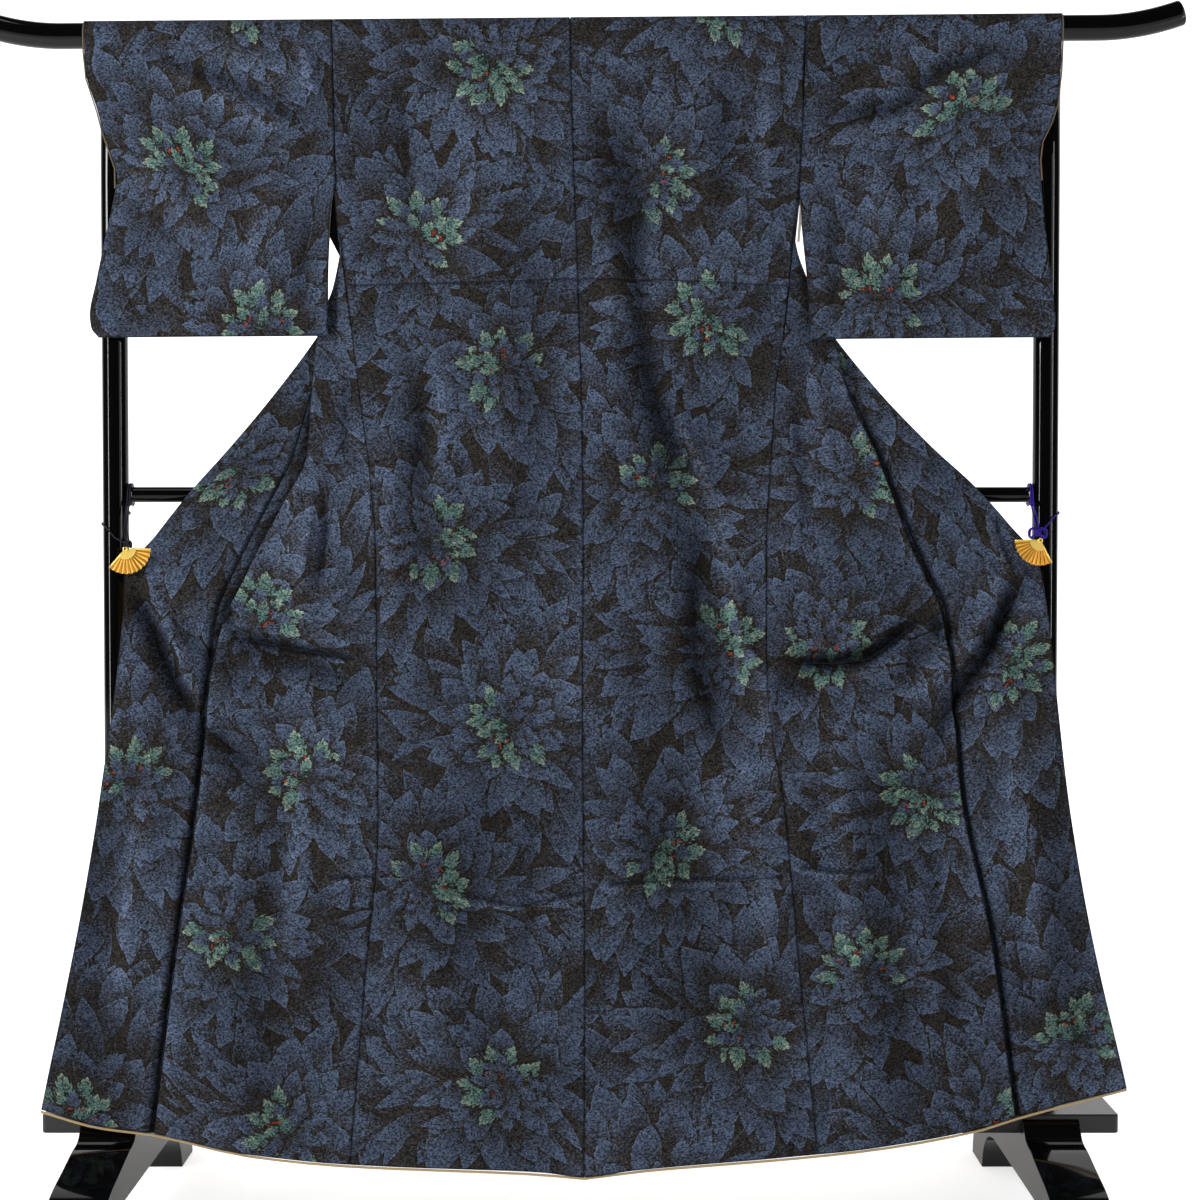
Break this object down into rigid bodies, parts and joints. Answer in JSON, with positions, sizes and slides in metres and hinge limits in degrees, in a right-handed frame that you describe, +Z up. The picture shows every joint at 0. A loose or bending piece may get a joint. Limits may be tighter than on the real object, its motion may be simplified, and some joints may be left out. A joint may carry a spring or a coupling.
{
  "type": "kimono on kimono stand",
  "caption": "Lined kimono hung over the rail of a lacquered stand with its back to the viewer, sleeves along the rail and both fronts spread out and held by small fan clips tied to the posts.",
  "frame": {"origin": "on the floor, under the middle of the stand's base board", "axes": "+Z up, +X along the rail to the right of someone facing the kimono's back, +Y away from them"},
  "size_m": [1.596, 0.596, 1.6204],
  "materials": {
    "silk": "matte woven silk with a leaf pattern",
    "lining": "matte plain silk",
    "lacquer": "black lacquer, glossy",
    "gold": "gilt, satin",
    "cord": "matte braided cord"
  },
  "bodies": {
    "root": {"back_left": "silk", "back_right": "silk", "front_left": "silk", "front_right": "silk", "okumi_left": "silk", "okumi_right": "silk", "collar_left": "silk", "collar_right": "silk", "sleeve_left": "silk", "sleeve_right": "silk", "hem_piping": "lining", "cuff_piping_left": "lining", "cuff_piping_right": "lining", "rail": "lacquer", "crossbar": "lacquer", "base_board": "lacquer", "post_left": "lacquer", "foot_left": "lacquer", "post_right": "lacquer", "foot_right": "lacquer", "fan_left": "gold", "clip_left": "gold", "fan_right": "gold", "clip_right": "gold", "knot_left": "cord", "tie_left": "cord", "knot_right": "cord", "tie_right": "cord"}
  },
  "joints": []
}
